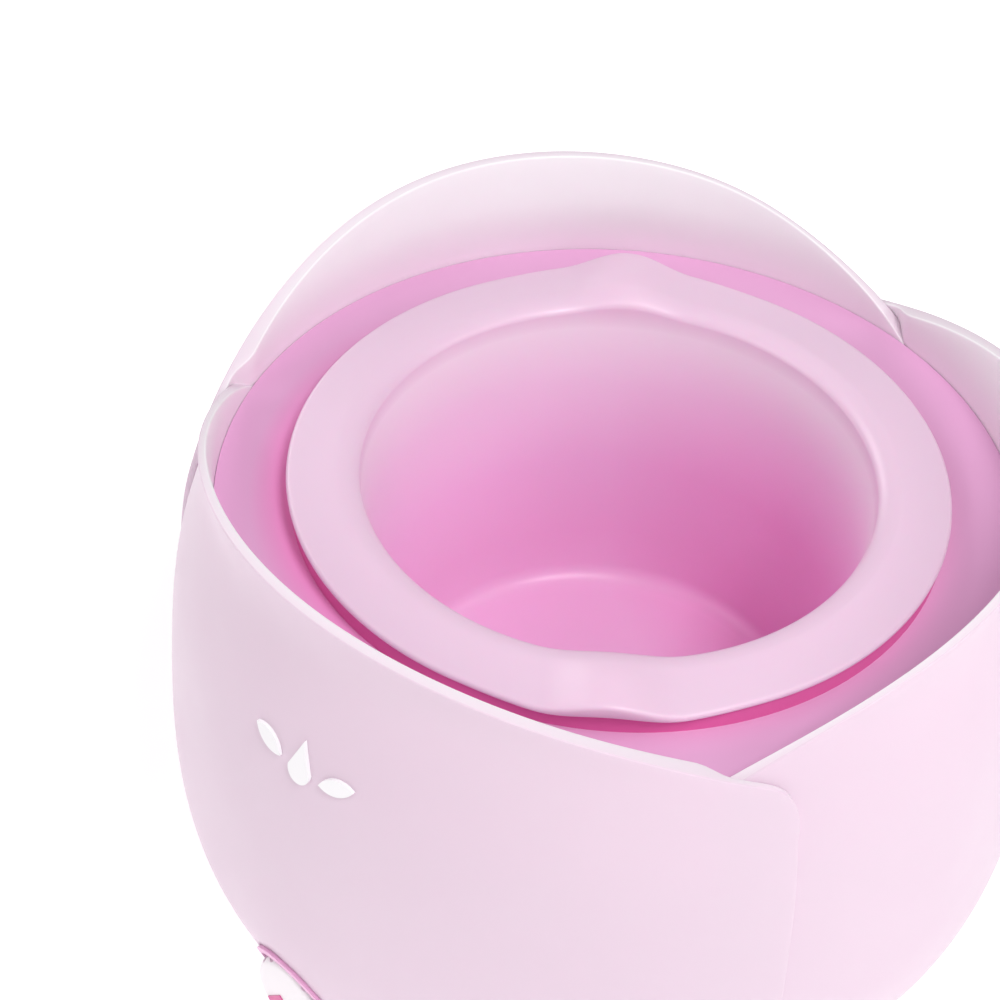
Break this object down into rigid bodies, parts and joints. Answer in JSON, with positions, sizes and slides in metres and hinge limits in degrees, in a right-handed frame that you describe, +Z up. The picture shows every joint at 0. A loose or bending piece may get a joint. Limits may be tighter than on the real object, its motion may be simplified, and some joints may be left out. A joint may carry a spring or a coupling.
{
  "type": "wax warmer pot",
  "caption": "Round tabletop wax warmer: overlapping petal shell round a deck, heated well with a lift-out silicone liner, temperature dial and rear mains inlet.",
  "frame": {"origin": "centre of the footprint, on the surface the warmer stands on", "axes": "+Z up; -Y is the front, where the dial and the raised mark are; the mains inlet faces +Y"},
  "size_m": [0.1934, 0.1943, 0.1516],
  "materials": {
    "petal_plastic": "soft satin moulding",
    "mark_white": "raised white trim",
    "deck_plastic": "smooth satin moulding",
    "collar_plastic": "heat resistant moulding",
    "well_metal": "spun, satin",
    "silicone": "soft satin silicone",
    "shield_steel": "aluminised sheet",
    "fibre": "needled fibre blanket",
    "screw_steel": "zinc plated",
    "heater_metal": "cast",
    "mica": "pressed mica sheet",
    "thermostat_case": "ceramic filled moulding",
    "copper": "drawn tube",
    "dial_plastic": "satin white moulding",
    "bezel_plastic": "satin pink moulding",
    "pointer_pink": "inlaid line",
    "lens": "clear tinted",
    "board": "laminate",
    "base_plastic": "satin moulding",
    "foot_rubber": "moulded rubber",
    "inlet_plastic": "black moulding",
    "pin_brass": "nickel plated",
    "ceramic": "glazed ceramic",
    "lead_sleeve": "silicone sleeve"
  },
  "bodies": {
    "root": {"petal_front": "petal_plastic", "petal_right": "petal_plastic", "petal_left": "petal_plastic", "drop_emblem": "mark_white", "deck_ring": "deck_plastic", "seat_collar": "collar_plastic", "heating_well": "well_metal", "heat_shield": "shield_steel", "insulation_blanket": "fibre", "well_screws": "screw_steel", "well_nuts": "screw_steel", "heating_plate": "heater_metal", "mica_insulator": "mica", "heater_clamp": "shield_steel", "clamp_stud": "screw_steel", "clamp_nut": "screw_steel", "thermal_cutout": "ceramic", "thermostat": "thermostat_case", "sensor_bulb": "copper", "dial_bezel": "bezel_plastic", "pilot_lens": "lens", "pilot_lamp_holder": "board", "base_tray": "base_plastic", "rubber_feet": "foot_rubber", "clamp_pillars": "base_plastic", "base_screws": "screw_steel", "inlet_body": "inlet_plastic", "inlet_pins": "pin_brass", "terminal_block": "ceramic", "inlet_leads": "lead_sleeve", "heater_leads": "lead_sleeve"},
    "liner": {"silicone_liner": "silicone"},
    "dial": {"dial_knob": "dial_plastic", "dial_pointer": "pointer_pink", "thermostat_shaft": "screw_steel"}
  },
  "joints": [
    {"name": "liner_lift", "type": "slide", "parent": "root", "child": "liner", "axis": [0, 0, 1], "range_m": [0, 0.1]},
    {"name": "dial_turn", "type": "hinge", "parent": "root", "child": "dial", "pos_m": [0, -0.0825, 0.037], "axis": [0, 1, 0], "range_deg": [0, 270]}
  ]
}
